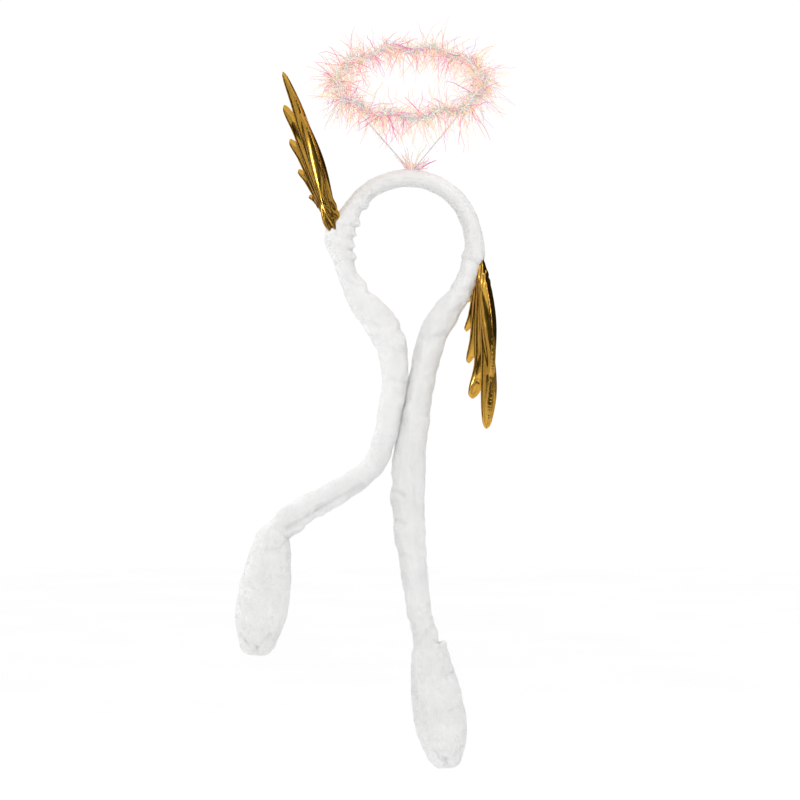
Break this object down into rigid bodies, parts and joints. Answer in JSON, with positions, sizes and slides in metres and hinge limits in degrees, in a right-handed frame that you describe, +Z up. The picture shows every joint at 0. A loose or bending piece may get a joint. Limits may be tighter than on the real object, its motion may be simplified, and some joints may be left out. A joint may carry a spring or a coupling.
{
  "type": "angel headband",
  "caption": "Plush headband with padded gold feathered wings, a tinsel halo on a wire fork, and long plush sleeves that end in squeeze bulbs.",
  "frame": {"origin": "underside of the middle of the arch, where the band sits on the crown of the head", "axes": "+Z up from the head towards the halo, +X to the viewer's right as the headband is seen from the front, -Y towards the viewer"},
  "size_m": [0.2678, 0.1638, 0.7454],
  "materials": {
    "white_plush": "short-pile white plush",
    "gold_foil": "shiny gold foil vinyl over padding",
    "halo_wire": "thin silvery wire",
    "tinsel": "iridescent film tinsel in pink, peach and pale yellow"
  },
  "bodies": {
    "root": {"band": "white_plush", "arm_left": "white_plush", "arm_right": "white_plush", "pump_left": "white_plush", "pump_right": "white_plush", "wing_left": "gold_foil", "wing_right": "gold_foil", "halo_frame": "halo_wire", "halo_garland": "tinsel", "stem_tuft": "tinsel"}
  },
  "joints": []
}
